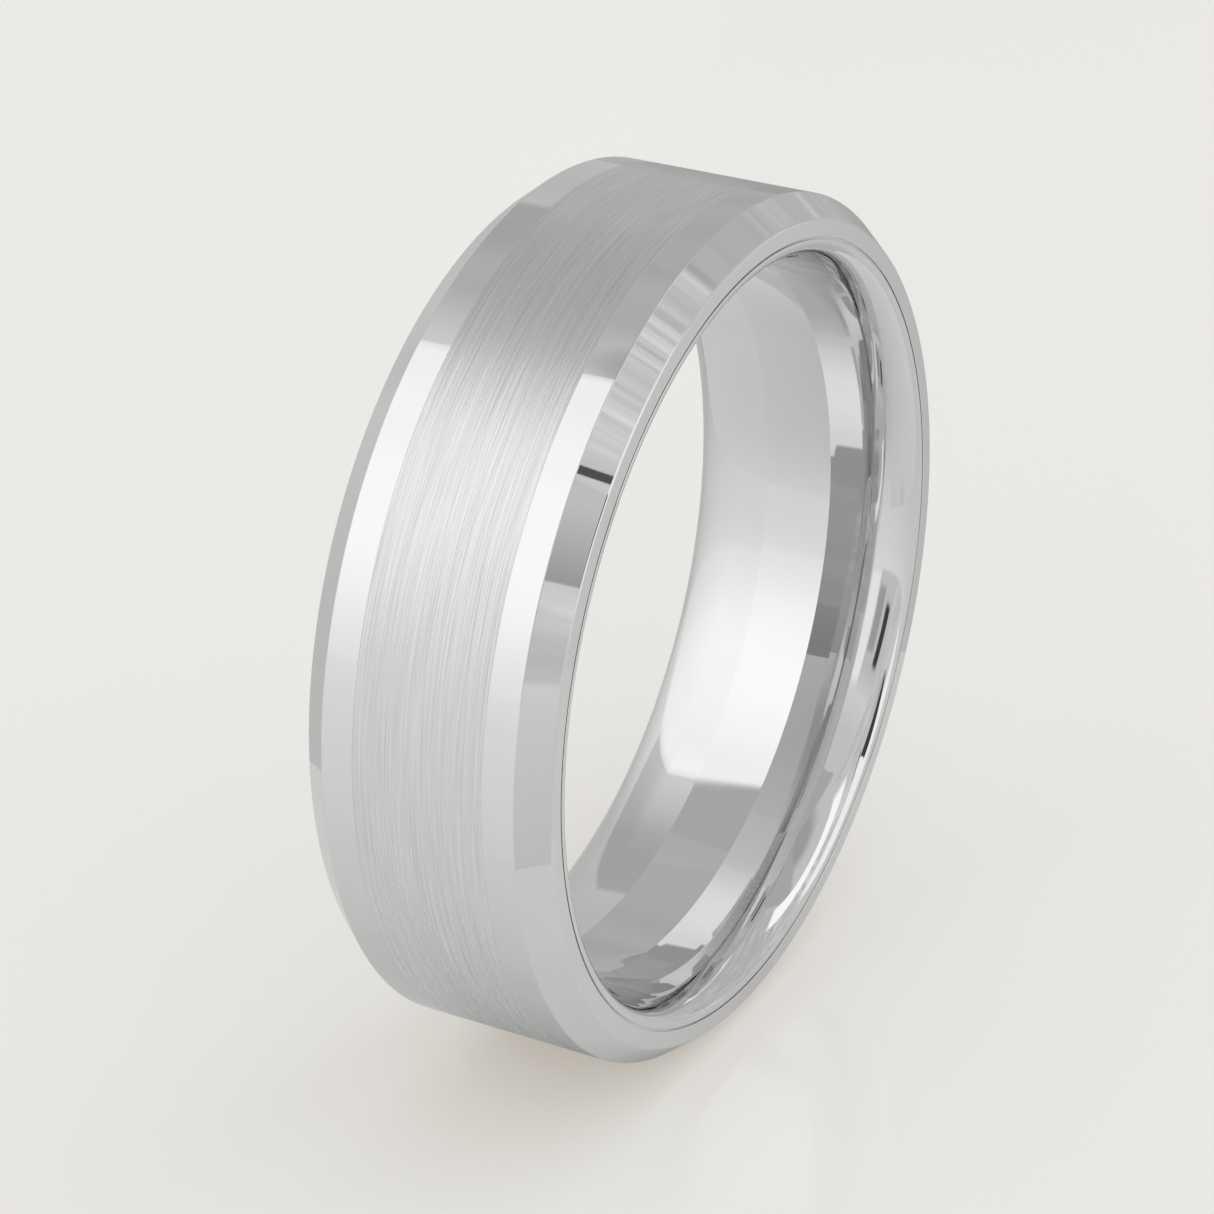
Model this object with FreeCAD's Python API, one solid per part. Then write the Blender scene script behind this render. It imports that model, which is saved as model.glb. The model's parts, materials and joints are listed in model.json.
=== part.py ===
import FreeCAD, Part

import math
import os

# Wedding band, millimetres.
# The finger hole runs along +Y, the ring stands upright on its edge, and the
# origin is the centre of the finger hole. "Front" is the -Y side.

# --- driving dimensions -------------------------------------------------------
FINGER_DIAMETER = 19.8          # bore at the straight land in the middle, ring size 10
OUTER_DIAMETER = 23.8           # over the flat cylinder of the centre band and rims
BAND_WIDTH = 7.0                # overall width, face to face along the finger
CENTRE_WIDTH = 3.7              # brushed centre band
BEVEL_WIDTH = 0.75              # bevel of each rim, measured along the finger
BEVEL_DROP = 0.6                # bevel of each rim, measured towards the finger
SIDE_FACE_HEIGHT = 0.5          # flat side face between the bevel and the liner's seam
LAND_LENGTH = 2.0               # straight land in the middle of the bore
RELIEF_LENGTH = 0.95            # cone on each side of the land, measured along the finger
RELIEF_ANGLE = 7.0              # slope of that cone, degrees
LINER_FACE_HEIGHT = 0.1         # flat end of the liner between the seam and the rounded lip

# --- how the rings nest in each other -----------------------------------------
COLLAR_WIDTH = 2.4              # locating collar around the middle of the liner
COLLAR_HEIGHT = 0.3             # step from the liner's seats up to its collar
SIDE_SEAM_BREAK = 0.03          # broken edge on each side of the seam in a side face
FLUSH_SEAM_BREAK = 0.015        # broken edge on each side of a seam in the outer cylinder
LEAD_IN = 0.06                  # chamfer that starts a pressed fit
OUTER_EDGE_ROUND = 0.05         # rounding between the bevel and the outer cylinder
INNER_EDGE_ROUND = 0.12         # rounding between the bevel and the side face

# --- sizes worked out from them -----------------------------------------------
finger_r = FINGER_DIAMETER / 2
outer_r = OUTER_DIAMETER / 2
half_width = BAND_WIDTH / 2
half_centre = CENTRE_WIDTH / 2
half_collar = COLLAR_WIDTH / 2
bevel_start = half_width - BEVEL_WIDTH
side_r = outer_r - BEVEL_DROP
seat_r = side_r - SIDE_FACE_HEIGHT
collar_r = seat_r + COLLAR_HEIGHT
half_land = LAND_LENGTH / 2
relief_slope = math.tan(math.radians(RELIEF_ANGLE))
relief_end = half_land + RELIEF_LENGTH
relief_r = finger_r + RELIEF_LENGTH * relief_slope
lip_r = seat_r - LINER_FACE_HEIGHT

# --- helpers ------------------------------------------------------------------
ORIGIN = FreeCAD.Vector(0, 0, 0)
FINGER_AXIS = FreeCAD.Vector(0, 1, 0)


def at(radius, y):
    """A point of a cross-section, by its radius and its place along the finger."""
    return FreeCAD.Vector(radius, y, 0)


def unit(vector):
    return FreeCAD.Vector(vector).normalize()


def path(points):
    """Straight edges from each point to the next."""
    return [Part.LineSegment(a, b).toShape() for a, b in zip(points, points[1:])]


def outline(corners):
    """Closed outline through the corners (radius, y) or (radius, y, rounding)."""
    edges = []
    joins = []
    count = len(corners)
    for i, corner in enumerate(corners):
        here = at(*corner[:2])
        if len(corner) == 2:
            joins += [here, here]
            continue
        back = unit(at(*corners[i - 1][:2]) - here)
        ahead = unit(at(*corners[(i + 1) % count][:2]) - here)
        rounding = corner[2]
        half_angle = back.getAngle(ahead) / 2
        inward = unit(back + ahead)
        start = here + back * (rounding / math.tan(half_angle))
        end = here + ahead * (rounding / math.tan(half_angle))
        crest = here + inward * (rounding / math.sin(half_angle) - rounding)
        edges.append(Part.Arc(start, crest, end).toShape())
        joins += [start, end]
    for leave, arrive in zip(joins[1::2], joins[2::2] + joins[:1]):
        edges.append(Part.LineSegment(leave, arrive).toShape())
    return edges


def turned(edges):
    """The solid ring that a closed cross-section sweeps about the finger axis."""
    section = Part.Face(Part.Wire(Part.__sortEdges__(edges)))
    return section.revolve(ORIGIN, FINGER_AXIS, 360)


# --- the pieces ---------------------------------------------------------------
def lip_ellipse():
    """Middle and half axes of the ellipse that leaves the relief cone in line with it and
    runs out into the liner's flat end."""
    height = lip_r - relief_r
    length = half_width - relief_end
    overlap = length ** 2 / (height / relief_slope - 2 * length)
    half_long = length + overlap
    half_tall = half_long * math.sqrt(relief_slope * height / overlap)
    return relief_end - overlap, half_long, half_tall


def comfort_lip(side):
    """Opens the bore from the land out to the liner's flat end, then breaks its edge."""
    middle, half_long, half_tall = lip_ellipse()
    centre = at(lip_r, side * middle)
    foot = at(lip_r - half_tall, side * middle)
    crest = at(lip_r, side * half_width)
    ellipse = Part.Ellipse(crest, foot, centre)
    relief_edge = at(relief_r, side * relief_end)
    span = sorted([ellipse.parameter(relief_edge), ellipse.parameter(crest)])
    relief = path([at(finger_r, side * half_land), relief_edge])
    face = path([
        crest,
        at(seat_r - SIDE_SEAM_BREAK, side * half_width),
        at(seat_r, side * (half_width - SIDE_SEAM_BREAK)),
    ])
    return relief + [Part.ArcOfEllipse(ellipse, *span).toShape()] + face


def comfort_fit_liner():
    """Inner sleeve: a comfort-fit bore inside, two seats and a locating collar outside."""
    outside = path([
        at(seat_r, -half_width + SIDE_SEAM_BREAK),
        at(seat_r, -half_collar),
        at(collar_r - LEAD_IN, -half_collar),
        at(collar_r, -half_collar + LEAD_IN),
        at(collar_r, half_collar - LEAD_IN),
        at(collar_r - LEAD_IN, half_collar),
        at(seat_r, half_collar),
        at(seat_r, half_width - SIDE_SEAM_BREAK),
    ])
    land = path([at(finger_r, -half_land), at(finger_r, half_land)])
    return turned(outside + comfort_lip(-1) + comfort_lip(1) + land)


def brushed_centre_band():
    """Middle ring, pressed over the liner's collar and flush with the rims."""
    return turned(outline([
        (collar_r, -half_centre + LEAD_IN),
        (collar_r, half_centre - LEAD_IN),
        (collar_r + LEAD_IN, half_centre),
        (outer_r - FLUSH_SEAM_BREAK, half_centre),
        (outer_r, half_centre - FLUSH_SEAM_BREAK),
        (outer_r, -half_centre + FLUSH_SEAM_BREAK),
        (outer_r - FLUSH_SEAM_BREAK, -half_centre),
        (collar_r + LEAD_IN, -half_centre),
    ]))


def polished_rim(side):
    """End ring with a bevel; its spigot slides under the centre band to the collar."""
    corners = [
        (outer_r, half_centre + FLUSH_SEAM_BREAK),
        (outer_r - FLUSH_SEAM_BREAK, half_centre),
        (collar_r, half_centre),
        (collar_r, half_collar + LEAD_IN),
        (collar_r - LEAD_IN, half_collar),
        (seat_r + LEAD_IN, half_collar),
        (seat_r, half_collar + LEAD_IN),
        (seat_r, half_width - SIDE_SEAM_BREAK),
        (seat_r + SIDE_SEAM_BREAK, half_width),
        (side_r, half_width, INNER_EDGE_ROUND),
        (outer_r, bevel_start, OUTER_EDGE_ROUND),
    ]
    return turned(outline([(r, side * y, *rounding) for r, y, *rounding in corners]))


# --- export -------------------------------------------------------------------
pieces = {
    "comfort_fit_liner": comfort_fit_liner(),
    "brushed_centre_band": brushed_centre_band(),
    "front_polished_rim": polished_rim(-1),
    "rear_polished_rim": polished_rim(1),
}

os.makedirs("parts", exist_ok=True)
for name, shape in pieces.items():
    shape.exportStep("parts/" + name + ".step")
    print(name, shape.ShapeType, "valid:", shape.isValid(), "volume:", round(shape.Volume, 3))
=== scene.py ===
import json
import math

import bpy
import numpy as np
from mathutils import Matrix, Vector


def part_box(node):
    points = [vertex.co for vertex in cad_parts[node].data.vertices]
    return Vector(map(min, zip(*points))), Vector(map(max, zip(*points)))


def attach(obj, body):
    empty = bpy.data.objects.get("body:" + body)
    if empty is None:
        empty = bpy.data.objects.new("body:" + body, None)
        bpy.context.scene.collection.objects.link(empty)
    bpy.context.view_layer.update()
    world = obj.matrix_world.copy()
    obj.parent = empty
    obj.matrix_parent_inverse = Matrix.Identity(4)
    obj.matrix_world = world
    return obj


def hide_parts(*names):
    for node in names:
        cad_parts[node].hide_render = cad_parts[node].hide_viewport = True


# A wedding band in metres. The finger hole runs along +Y, +Z is up, and the band stands on its edge.

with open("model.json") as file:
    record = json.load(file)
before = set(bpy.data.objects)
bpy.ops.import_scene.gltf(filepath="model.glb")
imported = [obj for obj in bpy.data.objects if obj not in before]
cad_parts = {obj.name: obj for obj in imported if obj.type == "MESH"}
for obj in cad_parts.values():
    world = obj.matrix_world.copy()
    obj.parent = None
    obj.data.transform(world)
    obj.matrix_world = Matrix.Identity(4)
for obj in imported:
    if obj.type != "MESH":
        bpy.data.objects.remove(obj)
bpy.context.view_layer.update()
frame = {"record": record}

MM = 0.001

# --- sizes read from the frame ---------------------------------------------------
bore_mount = next(m for m in frame["record"]["mounts"] if m["name"] == "finger_bore")
collar_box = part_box("comfort_fit_liner")[1]
centre_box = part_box("brushed_centre_band")[1]
rim_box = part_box("rear_polished_rim")

finger_r = bore_mount["dims"]["r_mm"] * MM
half_land = bore_mount["dims"]["length_mm"] * MM / 2
outer_r = centre_box.x
collar_r = collar_box.x
half_centre = centre_box.y
half_collar = rim_box[0].y
half_width = rim_box[1].y

# --- fine sizes of the pieces ----------------------------------------------------
BEVEL_WIDTH = 0.75 * MM
BEVEL_DROP = 0.6 * MM
SIDE_FACE_HEIGHT = 0.5 * MM
RELIEF_LENGTH = 0.95 * MM       # cone on each side of the bore's straight land
RELIEF_SLOPE = math.tan(math.radians(7))
LINER_FACE_HEIGHT = 0.1 * MM    # flat end of the liner between the seam and the rounded lip
OUTER_EDGE_ROUND = 0.05 * MM    # between the bevel and the outer cylinder
INNER_EDGE_ROUND = 0.12 * MM    # between the bevel and the side face
SEAM_ROUND = 0.02 * MM          # both lips of the hairline seam in a side face
SEAM_GAP = 0.026 * MM           # how far each side of that seam stands back
SEAM_DEPTH = 0.12 * MM
FLUSH_ROUND = 0.006 * MM        # both lips of a seam in the outer cylinder
LEAD_IN = 0.06 * MM             # chamfer that starts a pressed fit

side_r = outer_r - BEVEL_DROP
seat_r = side_r - SIDE_FACE_HEIGHT
bevel_start = half_width - BEVEL_WIDTH
relief_end = half_land + RELIEF_LENGTH
relief_r = finger_r + RELIEF_LENGTH * RELIEF_SLOPE
lip_r = seat_r - LINER_FACE_HEIGHT

SEGMENTS = 480                  # flats around each ring
LIP_STEPS = 56                  # along the rounded end of the bore
ROUND_STEPS = 6                 # along each small rounding


# --- meshes ----------------------------------------------------------------------
def unit(vector):
    return vector / np.linalg.norm(vector)


def straight(start, end):
    """Points and directions of travel of a straight stretch of a cross-section."""
    points = np.array([start, end])
    return points, np.array([unit(points[1] - points[0])] * 2)


def rounding(before, corner, after, radius):
    """Points and directions of travel of the arc that replaces a corner."""
    back = unit(before - corner)
    ahead = unit(after - corner)
    half_angle = math.acos(np.clip(back @ ahead, -1, 1)) / 2
    centre = corner + unit(back + ahead) * radius / math.sin(half_angle)
    first = unit(corner + back * radius / math.tan(half_angle) - centre)
    turn = math.pi - 2 * half_angle
    side = unit(-back)
    angles = np.linspace(0, turn, ROUND_STEPS + 1)[:, None]
    points = centre + radius * (first * np.cos(angles) + side * np.sin(angles))
    travel = side * np.cos(angles) - first * np.sin(angles)
    return points, travel


def stretches(corners, closed=True):
    """Cuts a cross-section, given as corners (radius, y) or (radius, y, rounding), into stretches."""
    spots = [np.array(c[:2], float) for c in corners]
    pieces = []
    leave = []
    arrive = []
    count = len(corners)
    for i, corner in enumerate(corners):
        open_end = not closed and i in (0, count - 1)
        if len(corner) == 2 or open_end:
            pieces.append(None)
            arrive.append(spots[i])
            leave.append(spots[i])
            continue
        arc = rounding(spots[i - 1], spots[i], spots[(i + 1) % count], corner[2])
        pieces.append(arc)
        arrive.append(arc[0][0])
        leave.append(arc[0][-1])
    made = []
    for i in range(count):
        if pieces[i] is not None:
            made.append(pieces[i])
        if closed or i < count - 1:
            made.append(straight(leave[i], arrive[(i + 1) % count]))
    return made


def comfort_lip():
    """Ellipse from the bore's relief cone, in line with it, out to the liner's end, on the +Y side."""
    height = lip_r - relief_r
    length = half_width - relief_end
    overlap = length ** 2 / (height / RELIEF_SLOPE - 2 * length)
    half_long = length + overlap
    half_tall = half_long * math.sqrt(RELIEF_SLOPE * height / overlap)
    turn = np.linspace(math.asin(overlap / half_long), math.pi / 2, LIP_STEPS + 1)
    points = np.stack([lip_r - half_tall * np.cos(turn),
                       relief_end - overlap + half_long * np.sin(turn)], 1)
    travel = np.stack([half_tall * np.sin(turn), half_long * np.cos(turn)], 1)
    return points, travel / np.linalg.norm(travel, axis=1)[:, None]


def mirrored(parts):
    """The same stretches on the -Y side, in the order that keeps the outside outside."""
    flip = np.array([1, -1])
    return [(points[::-1] * flip, -travel[::-1] * flip) for points, travel in reversed(parts)]


def turned(name, parts):
    """A ring swept about the finger axis from its cross-section, with the exact surface normals."""
    section = np.vstack([points[:-1] for points, _ in parts])
    rings = len(section)
    angle = np.arange(SEGMENTS) * 2 * math.pi / SEGMENTS
    spoke = np.stack([np.cos(angle), np.zeros(SEGMENTS), np.sin(angle)], 1)
    axis = np.array([0, 1, 0])
    verts = section[:, None, :1] * spoke + section[:, None, 1:] * axis
    near = np.arange(rings)[:, None] * SEGMENTS
    far = np.roll(near, -1)
    here = np.arange(SEGMENTS)[None, :]
    beside = np.roll(here, -1)
    faces = np.stack([near + here, near + beside, far + beside, far + here], -1)

    start = np.vstack([travel[:-1] for _, travel in parts])
    end = np.vstack([travel[1:] for _, travel in parts])
    beside_spoke = np.roll(spoke, -1, axis=0)

    def normals(travel, spokes):
        return -travel[:, None, 1:] * spokes + travel[:, None, :1] * axis

    loops = [normals(start, spoke), normals(start, beside_spoke),
             normals(end, beside_spoke), normals(end, spoke)]

    mesh = bpy.data.meshes.new(name)
    mesh.from_pydata(verts.reshape(-1, 3).tolist(), [], faces.reshape(-1, 4).tolist())
    mesh.polygons.foreach_set("use_smooth", [True] * len(mesh.polygons))
    mesh.normals_split_custom_set(np.stack(loops, 2).reshape(-1, 3).tolist())
    mesh.validate()
    piece = bpy.data.objects.new(name, mesh)
    bpy.context.scene.collection.objects.link(piece)
    return piece


# --- the pieces --------------------------------------------------------------------
def polished_liner():
    """Inner sleeve: comfort-fit bore inside, two seats and a locating collar outside."""
    relief = straight((finger_r, half_land), (relief_r, relief_end))
    outside = stretches([
        (lip_r, half_width),
        (seat_r - SEAM_GAP, half_width, SEAM_ROUND),
        (seat_r - SEAM_GAP, half_width - SEAM_DEPTH),
        (seat_r, half_width - SEAM_DEPTH),
        (seat_r, half_collar),
        (collar_r - LEAD_IN, half_collar),
        (collar_r, half_collar - LEAD_IN),
        (collar_r, 0),
    ], closed=False)
    upper = [relief, comfort_lip()] + outside
    land = [straight((finger_r, -half_land), (finger_r, half_land))]
    return turned("liner_polished", land + upper + mirrored(upper))


def brushed_centre():
    """Middle ring, pressed over the liner's collar and flush with the rims."""
    upper = [
        (collar_r, half_centre - LEAD_IN),
        (collar_r + LEAD_IN, half_centre),
        (outer_r, half_centre, FLUSH_ROUND),
    ]
    lower = [(corner[0], -corner[1], *corner[2:]) for corner in reversed(upper)]
    return turned("centre_brushed", stretches(upper + lower))


def polished_rim(name, side):
    """End ring with a bevel; its spigot slides under the centre band to the collar."""
    parts = stretches([
        (outer_r, half_centre, FLUSH_ROUND),
        (collar_r, half_centre),
        (collar_r, half_collar + LEAD_IN),
        (collar_r - LEAD_IN, half_collar),
        (seat_r + LEAD_IN, half_collar),
        (seat_r, half_collar + LEAD_IN),
        (seat_r, half_width - SEAM_DEPTH),
        (seat_r + SEAM_GAP, half_width - SEAM_DEPTH),
        (seat_r + SEAM_GAP, half_width, SEAM_ROUND),
        (side_r, half_width, INNER_EDGE_ROUND),
        (outer_r, bevel_start, OUTER_EDGE_ROUND),
    ])
    return turned(name, parts if side > 0 else mirrored(parts))


# --- shader arithmetic ---------------------------------------------------------------
class Field:
    """A number worked out by shader nodes, which adds and multiplies like a plain one."""

    def __init__(self, tree, socket):
        self.tree = tree
        self.socket = socket

    def math(self, operation, *others):
        node = self.tree.nodes.new("ShaderNodeMath")
        node.operation = operation
        for socket, value in zip(node.inputs, (self, *others)):
            plug(self.tree, value, socket)
        return Field(self.tree, node.outputs[0])

    def __add__(self, other):
        return self.math("ADD", other)

    def __sub__(self, other):
        return self.math("SUBTRACT", other)

    def __mul__(self, other):
        return self.math("MULTIPLY", other)

    def __truediv__(self, other):
        return self.math("DIVIDE", other)

    def above(self, edge, blur):
        """0 below the edge and 1 above it, with a soft step as wide as the blur."""
        node = self.tree.nodes.new("ShaderNodeMapRange")
        node.interpolation_type = "SMOOTHSTEP"
        plug(self.tree, self, node.inputs["Value"])
        plug(self.tree, edge - blur / 2, node.inputs["From Min"])
        plug(self.tree, edge + blur / 2, node.inputs["From Max"])
        return Field(self.tree, node.outputs["Result"])

    def inverted(self):
        """1 where a mask is 0, and 0 where it is 1."""
        return self * -1 + 1

    def below(self, edge, blur):
        """1 below the edge and 0 above it."""
        return self.above(edge, blur).inverted()

    def within(self, low, high, blur):
        """1 between the two edges and 0 outside them."""
        return self.above(low, blur) - self.above(high, blur)

    def levels(self, stops):
        """Follows straight lines between the stops, given as {value: level}."""
        low, high, top = min(stops), max(stops), max(stops.values())
        spread = self.tree.nodes.new("ShaderNodeMapRange")
        plug(self.tree, self, spread.inputs["Value"])
        spread.inputs["From Min"].default_value = low
        spread.inputs["From Max"].default_value = high
        ramp = self.tree.nodes.new("ShaderNodeValToRGB")
        self.tree.links.new(spread.outputs["Result"], ramp.inputs["Fac"])
        elements = ramp.color_ramp.elements
        while len(elements) < len(stops):
            elements.new(0.5)
        for element, value in zip(elements, sorted(stops)):
            element.position = (value - low) / (high - low)
        for element, value in zip(elements, sorted(stops)):
            element.color = (*[stops[value] / top] * 3, 1)
        return Field(self.tree, ramp.outputs["Color"]) * top

    def covered(self, other, mask):
        """This field where the mask is 0, and the other where it is 1."""
        node = self.tree.nodes.new("ShaderNodeMix")
        node.clamp_factor = True
        plug(self.tree, mask, node.inputs["Factor"])
        plug(self.tree, self, node.inputs["A"])
        plug(self.tree, other, node.inputs["B"])
        return Field(self.tree, node.outputs["Result"])


def plug(tree, value, socket):
    """Links a field to a socket, or sets a plain number on it."""
    if isinstance(value, Field):
        tree.links.new(value.socket, socket)
    else:
        socket.default_value = value


def noise(tree, source, lumps, detail=2.0, place=(0, 0, 0)):
    """Smooth noise from 0 to 1, with so many lumps to each unit of the source along x, y and z."""
    mapping = tree.nodes.new("ShaderNodeMapping")
    mapping.inputs["Scale"].default_value = lumps
    mapping.inputs["Location"].default_value = place
    tree.links.new(source, mapping.inputs["Vector"])
    node = tree.nodes.new("ShaderNodeTexNoise")
    node.inputs["Scale"].default_value = 1
    node.inputs["Detail"].default_value = detail
    tree.links.new(mapping.outputs["Vector"], node.inputs["Vector"])
    return Field(tree, node.outputs["Fac"])


def tinted(tree, field, dark, light):
    """A colour between two others, by a field from 0 to 1."""
    node = tree.nodes.new("ShaderNodeMix")
    node.data_type = "RGBA"
    plug(tree, field, node.inputs["Factor"])
    colours = [s for s in node.inputs if s.type == "RGBA"]
    colours[0].default_value = (*dark, 1)
    colours[1].default_value = (*light, 1)
    return next(s for s in node.outputs if s.type == "RGBA")


# --- materials -----------------------------------------------------------------------
COARSE_DEPTH = 0.001 * MM       # of the brushing
FINE_DEPTH = 0.008 * MM
WAVE_DEPTH = 0.002 * MM         # of the slow waves that polishing leaves


def new_material(name, constants):
    """A material with a Principled shader, its tree and the object's own coordinates."""
    made = bpy.data.materials.new(name)
    made.use_nodes = True
    tree = made.node_tree
    shader = tree.nodes["Principled BSDF"]
    for socket, value in constants.items():
        shader.inputs[socket].default_value = value
    place = tree.nodes.new("ShaderNodeTexCoord").outputs["Object"]
    return made, tree, shader, place


def bump(tree, shader, height, depth, before=None):
    """Raises the surface by the field times the depth, in metres."""
    node = tree.nodes.new("ShaderNodeBump")
    node.inputs["Strength"].default_value = 1
    node.inputs["Distance"].default_value = depth
    plug(tree, height, node.inputs["Height"])
    if before is not None:
        tree.links.new(before, node.inputs["Normal"])
    tree.links.new(node.outputs["Normal"], shader.inputs["Normal"])
    return node.outputs["Normal"]


def per_mm(x, y, z):
    return (x / MM, y / MM, z / MM)


def scratches(tree, place, across, along, detail, start):
    """Noise drawn out around the band, with so many lumps to a millimetre across and along it."""
    return noise(tree, place, per_mm(along, across, along), detail, start)


def brushed_metal():
    """White metal with fine straight brushing that runs around the band."""
    made, tree, shader, place = new_material("brushed_metal", {
        "Metallic": 1,
        "Roughness": 0.28,
        "Anisotropic": 0.4,
        "Anisotropic Rotation": 0.25,
    })
    tangent = tree.nodes.new("ShaderNodeTangent")
    tangent.direction_type = "RADIAL"
    tangent.axis = "Y"
    tree.links.new(tangent.outputs["Tangent"], shader.inputs["Tangent"])
    fine = scratches(tree, place, 26, 0.33, 1, (0, 0, 0))
    coarse = scratches(tree, place, 14, 0.3, 1, (3, 7, 5))
    scuffs = scratches(tree, place, 30, 0.9, 2, (11, 2, 8))
    lines = fine * 0.85 + coarse * 0.15
    tree.links.new(tinted(tree, lines, (0.53, 0.53, 0.525), (0.87, 0.87, 0.865)),
                   shader.inputs["Base Color"])
    plug(tree, scuffs.levels({0.3: 0.24, 0.7: 0.32}), shader.inputs["Roughness"])
    deep = bump(tree, shader, coarse, COARSE_DEPTH)
    bump(tree, shader, fine, FINE_DEPTH, deep)
    return made


def polished_metal(name):
    """White metal polished to a mirror, with a trace of haze and faint hairlines."""
    made, tree, shader, place = new_material(name, {"Metallic": 1, "Roughness": 0.03})
    haze = noise(tree, place, per_mm(0.4, 0.5, 0.4), 3)
    hairs = scratches(tree, place, 25, 1.2, 2, (5, 1, 9))
    ripple = noise(tree, place, per_mm(0.5, 0.3, 0.5), 1, (2, 6, 4))
    tree.links.new(tinted(tree, haze, (0.725, 0.725, 0.72), (0.755, 0.755, 0.75)),
                   shader.inputs["Base Color"])
    plug(tree, (haze * hairs).levels({0.15: 0.015, 0.4: 0.04}), shader.inputs["Roughness"])
    bump(tree, shader, ripple, WAVE_DEPTH)
    return made


def floor_surface(name, darker, lighter, glow):
    """Pale smooth table top with a soft sheen and an even painted glow: it gives off light of its own,
    though it is no lamp.
    """
    made, tree, shader, place = new_material(name, {"IOR": 1.45})
    mottle = noise(tree, place, per_mm(0.02, 0.02, 0.02), 3)
    tree.links.new(tinted(tree, mottle, darker, lighter), shader.inputs["Base Color"])
    plug(tree, mottle.levels({0.3: 0.05, 0.7: 0.08}), shader.inputs["Roughness"])
    # Painted light: this emission makes the table top glow like a lamp, lifting its shadows.
    shader.inputs["Emission Color"].default_value = (*glow, 1)
    shader.inputs["Emission Strength"].default_value = 1
    return made


# --- the studio ----------------------------------------------------------------------
CAMERA_AZIMUTH = math.radians(-61.8)
CAMERA_ELEVATION = math.radians(26.9)
CAMERA_DISTANCE = 9.168 * outer_r
CAMERA_LENS = 119.5
AIM_RIGHT = -0.0756 * outer_r
AIM_UP = 0.0058 * outer_r

FLOOR_SIDES = 96
FLOOR_RADIUS = 100 * outer_r
MIRRORED_RADIUS = 2 * outer_r
FLOOR_DROP = 0.002 * MM         # keeps the mirrored disc just under the table top

SOFTBOX_LEFT = -172             # azimuths and elevations in degrees, as seen from the band
SOFTBOX_RIGHT = -111
SOFTBOX_MIDDLE = 240            # counted from 0 to 360
SOFTBOX_TOP = 62.5
CAMERA_SIDE = -55
FRONT_END = 108
FULL_TURN = 360
BEYOND_THE_TABLE = 0.78         # what the camera sees past the table's edge


def backward():
    """The direction from the band to the camera."""
    flat = math.cos(CAMERA_ELEVATION)
    return Vector((math.sin(CAMERA_AZIMUTH) * flat, -math.cos(CAMERA_AZIMUTH) * flat,
                   math.sin(CAMERA_ELEVATION)))


def add_camera():
    data = bpy.data.cameras.new("camera")
    data.sensor_width = 36
    data.lens = CAMERA_LENS
    data.clip_start = MM
    data.clip_end = 10
    camera = bpy.data.objects.new("camera", data)
    back = backward()
    right = Vector((math.cos(CAMERA_AZIMUTH), math.sin(CAMERA_AZIMUTH), 0))
    up = back.cross(right)
    camera.location = back * CAMERA_DISTANCE + right * AIM_RIGHT + up * AIM_UP
    camera.rotation_mode = "QUATERNION"
    camera.rotation_quaternion = (-back).to_track_quat("-Z", "Y")
    bpy.context.scene.collection.objects.link(camera)
    bpy.context.scene.camera = camera


def add_floor():
    """The table top that the camera sees, with its painted glow, and a disc of it around the band that
    the metal mirrors: a copy with its own colour and no glow, darker than the table the camera sees,
    which is painted shade in the reflections.
    """
    # Painted light: the table top the camera sees is a cool grey with a warm glow of its own, so its
    # shadows are lifted and turn warm.
    seen = floor_surface("table_top",
                         (0.49, 0.535, 0.57), (0.51, 0.555, 0.59), (0.34, 0.29, 0.23))
    # Painted shade: the metal mirrors this glowless copy of the table top, which is darker and keeps
    # deeper shade than the table the camera sees.
    mirrored_top = floor_surface("mirrored_table_top",
                                 (0.765, 0.765, 0.76), (0.8, 0.8, 0.795), (0, 0, 0))
    floors = []
    for name, radius, height, surface in (
            ("floor", FLOOR_RADIUS, -outer_r, seen),
            ("mirrored_floor", MIRRORED_RADIUS, -FLOOR_DROP - outer_r, mirrored_top)):
        turn = np.arange(FLOOR_SIDES) * 2 * math.pi / FLOOR_SIDES
        rim = [(radius * math.cos(a), radius * math.sin(a), height) for a in turn]
        mesh = bpy.data.meshes.new(name)
        mesh.from_pydata(rim, [], [list(range(FLOOR_SIDES))])
        mesh.materials.append(surface)
        floor = bpy.data.objects.new(name, mesh)
        bpy.context.scene.collection.objects.link(floor)
        floors.append(floor)
    floors[0].visible_glossy = False
    floors[1].visible_camera = False
    for floor in floors:
        floor.visible_diffuse = False
        floor.visible_shadow = False


# Each part of the studio below is made of levels of light by azimuth or elevation, both in degrees.
def rear_studio(all_round, elevation):
    """Grey walls behind on the right, with a darker stretch next to the front."""
    walls = elevation.levels({0: 0.61, 22: 0.62, 33: 0.66, 35: 0.49, 47: 0.49, 54: 0.57, 61: 0.56})
    darker = elevation.levels({0: 0.5, 12: 0.49, 21: 0.54, 32: 0.51, 40: 0.54})
    edge = elevation * elevation * 0.0065 + 114.5
    sides = all_round.levels({125: 0.98, 155: 0.97, 172: 1.22, 186: 1.4})
    return darker.covered(walls, all_round.above(edge, 0.6)) * sides


def stand(azimuth, elevation):
    """Outline of a dark stand; the rounded edge of the front bevel mirrors it as a fine line."""
    post = (azimuth - elevation * 0.75).within(-46.2, -16, 0.6)
    post = post * (elevation + azimuth * 0.46).above(0.6, 0.5)
    post = post * (elevation + azimuth * 0.87).below(18, 0.5)
    return post * elevation.above(17, 1)


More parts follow.
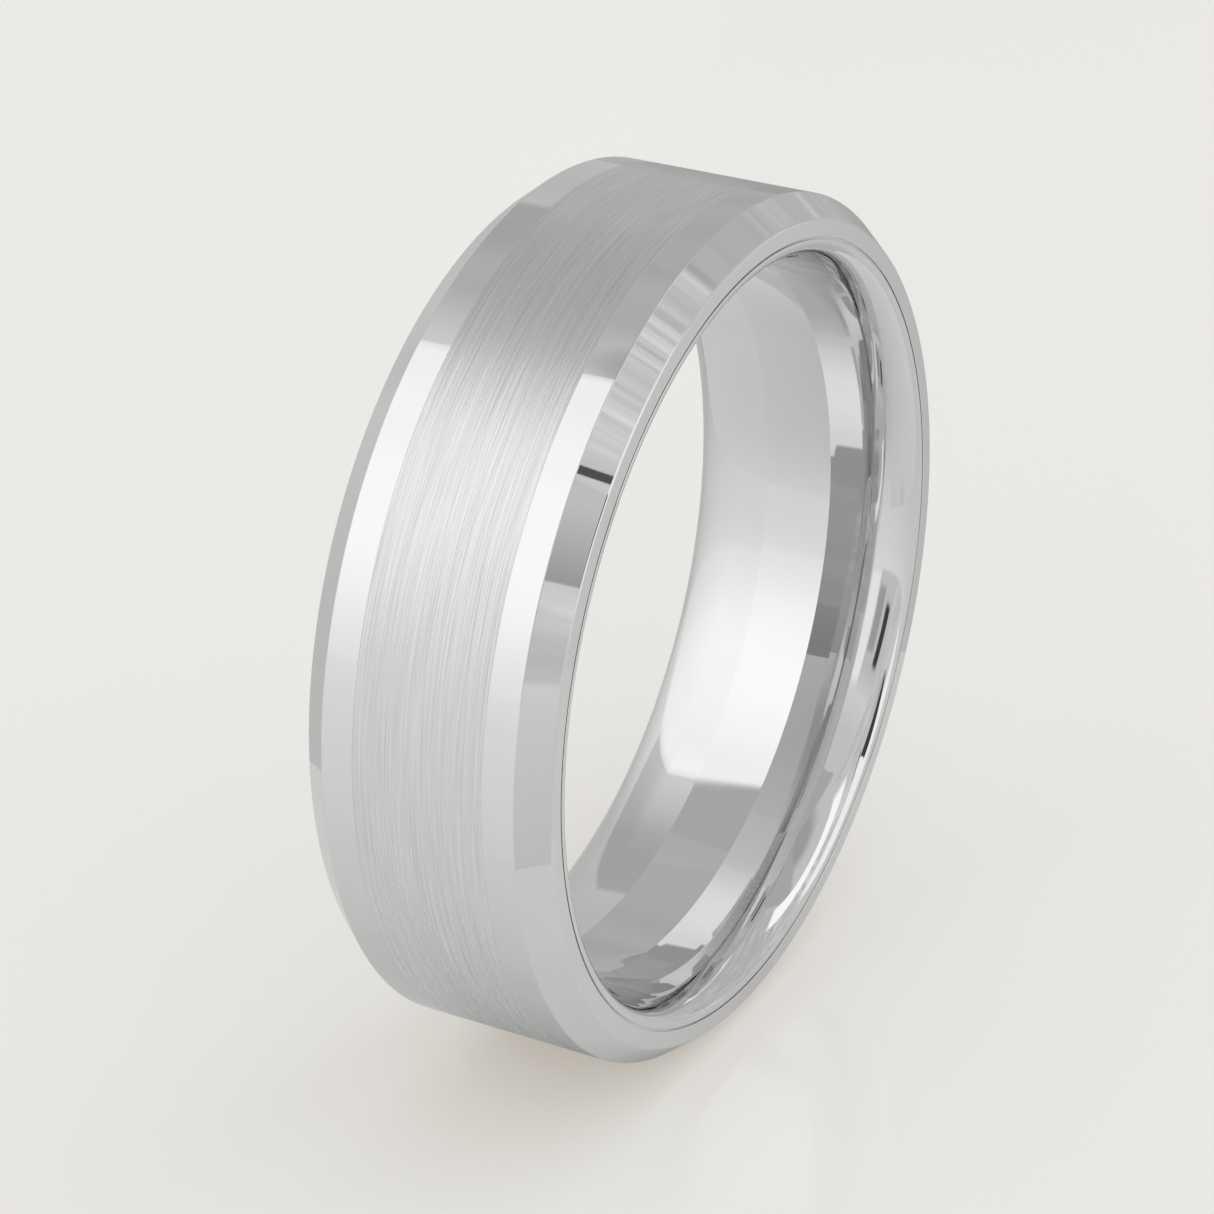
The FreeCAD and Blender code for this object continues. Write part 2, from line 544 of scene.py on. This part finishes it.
def front_studio(azimuth, elevation, streaks):
    """Streaky grey with a grey patch, two bright panels, a dark stand and its dark crossbar."""
    made = azimuth.levels({-55: 0.68, -25: 0.7, -13: 0.8, 3: 0.72, 23: 0.73, 58: 0.6, 108: 0.56})
    made = made * (streaks + 1)
    patch = elevation.levels({19: 0.41, 33: 0.69})
    made = made.covered(patch, azimuth.within(-37, -22, 1) * elevation.within(19, 36, 0.6))
    made = made.covered(1.12, azimuth.within(-18, 30, 6) * elevation.within(-4, 35, 4))
    made = made.covered(1.25, azimuth.within(-32, 62, 6) * elevation.within(51, 62, 1))
    made = made.covered(0.06, stand(azimuth, elevation))
    return made.covered(0.1, azimuth.within(-26, -12, 1) * elevation.within(36.9, 38.2, 0.2))


def camera_studio(azimuth, elevation):
    """Grey beside the camera, with a bright strip, a dark one and the dark camera."""
    made = elevation.levels({0: 0.66, 30: 0.64, 39: 0.8, 50: 0.7})
    made = made.covered(1.02, azimuth.within(-89, -80, 2) * elevation.within(0, 36, 6))
    made = made.covered(0.42, azimuth.within(-79, -72, 2) * elevation.within(5, 25, 3))
    return made.covered(0.06, azimuth.within(-68, -61, 2) * elevation.within(9, 28, 3))


def ceiling(azimuth, elevation):
    """Lighter above the front, and darker overhead and above the rest."""
    front = elevation.levels({62: 0.7, 73: 0.68, 79: 0.44})
    return front.covered(0.5, azimuth.within(-62, 40, 8).inverted())


def softbox_light(azimuth, elevation):
    """Brightest halfway up, and below the top a little dimmer towards the left."""
    light = elevation.levels({0: 1, 8: 1.08, 17: 1.2, 27: 1.27, 45: 1.29, 53: 1.24, 61: 1.16})
    sides = azimuth.levels({-180: 0.88, -150: 0.92, -130: 0.98, -118: 1})
    return (light * sides).covered(light, elevation.above(52, 8))


def softbox_outline(all_round, elevation):
    """Sharp on the right, soft on the left, with a top that slopes down to the right."""
    left = SOFTBOX_LEFT + FULL_TURN
    right = SOFTBOX_RIGHT + FULL_TURN
    top = (all_round - SOFTBOX_MIDDLE) * -0.07 + SOFTBOX_TOP
    across = all_round.within(left, right, 1) * all_round.above(left, 10)
    return across * elevation.below(top, 1)


def far_table(azimuth, elevation):
    """The table top beyond the mirrored disc."""
    around = azimuth.levels({-180: 0.66, -140: 0.83, -116: 0.88, -42: 0.73, 60: 0.74, 64.5: 0.7,
                             66.5: 0.63, 94: 0.53, 108: 0.41, 115: 0.37, 117: 0.52, 155: 0.64,
                             180: 0.62})
    return around * elevation.levels({-40: 0.9, -20: 0.97, -8: 1.02, 0: 1.1})


def surroundings(azimuth, elevation, streaks):
    """What the polished metal mirrors: a tall softbox behind on the left, and a grey studio."""
    all_round = azimuth.math("FLOORED_MODULO", FULL_TURN)
    made = rear_studio(all_round, elevation)
    made = made.covered(front_studio(azimuth, elevation, streaks),
                        azimuth.within(CAMERA_SIDE, FRONT_END, 2))
    made = made.covered(camera_studio(azimuth, elevation),
                        azimuth.within(SOFTBOX_RIGHT, CAMERA_SIDE, 2))
    ceiling_edge = azimuth.within(-70, 60, 8) * -1.5 + 64
    made = made.covered(ceiling(azimuth, elevation), elevation.above(ceiling_edge, 1))
    made = made.covered(softbox_light(azimuth, elevation), softbox_outline(all_round, elevation))
    return far_table(azimuth, elevation).covered(made, elevation.above(0, 2))


def wavy_streaks(tree, azimuth, elevation):
    """Uneven streaks around 0, strong in some patches of the studio and faint in others."""
    turns = tree.nodes.new("ShaderNodeCombineXYZ")
    plug(tree, azimuth, turns.inputs["X"])
    plug(tree, elevation, turns.inputs["Y"])
    fine = noise(tree, turns.outputs["Vector"], (0.3, 0.06, 1), 5)
    patches = noise(tree, turns.outputs["Vector"], (0.07, 0.09, 1), 1, (3, 8, 2))
    return (fine - 0.5) * patches.levels({0.4: 0.15, 0.6: 1.5}) + (patches - 0.5) * 0.3


def add_surroundings():
    """Lights by direction: one studio for the mirror finish, a softer light for the table."""
    world = bpy.data.worlds.new("studio")
    world.use_nodes = True
    tree = world.node_tree
    direction = tree.nodes.new("ShaderNodeTexCoord").outputs["Generated"]
    split = tree.nodes.new("ShaderNodeSeparateXYZ")
    tree.links.new(direction, split.inputs[0])
    x, y, z = [Field(tree, socket) for socket in split.outputs]
    azimuth = x.math("ARCTAN2", y * -1).math("DEGREES")
    elevation = z.math("ARCSINE").math("DEGREES")
    mirrored_light = surroundings(azimuth, elevation, wavy_streaks(tree, azimuth, elevation))

    path = tree.nodes.new("ShaderNodeLightPath")
    seen = Field(tree, path.outputs["Is Camera Ray"])
    spread = Field(tree, path.outputs["Is Diffuse Ray"])
    soft_light = elevation.levels({0: 0.9, 90: 1.1}) * azimuth.levels({-160: 0.65, 20: 1.35, 180: 0.7})
    light = mirrored_light.covered(soft_light, spread).covered(BEYOND_THE_TABLE, seen)
    background = tree.nodes["Background"]
    plug(tree, light, background.inputs["Strength"])
    background.inputs["Color"].default_value = (1, 1, 1, 1)
    bpy.context.scene.world = world


# --- put it together -----------------------------------------------------------------
def add_band():
    rims = polished_metal("polished_rim_metal")
    liner = polished_metal("polished_liner_metal")
    brushed = brushed_metal()
    made = [
        (polished_liner(), "comfort_fit_liner", "polished_liner", liner),
        (brushed_centre(), "brushed_centre_band", "brushed_band", brushed),
        (polished_rim("front_rim_polished", -1), "front_polished_rim", "polished_rim", rims),
        (polished_rim("rear_rim_polished", 1), "rear_polished_rim", "polished_rim", rims),
    ]
    for piece, node, slot, metal in made:
        piece.data.materials.append(metal)
        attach(piece, "root")
        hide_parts(node)


add_camera()
add_band()
add_floor()
add_surroundings()
bpy.context.scene.view_settings.view_transform = "Standard"
bpy.context.scene.cycles.glossy_bounces = 10
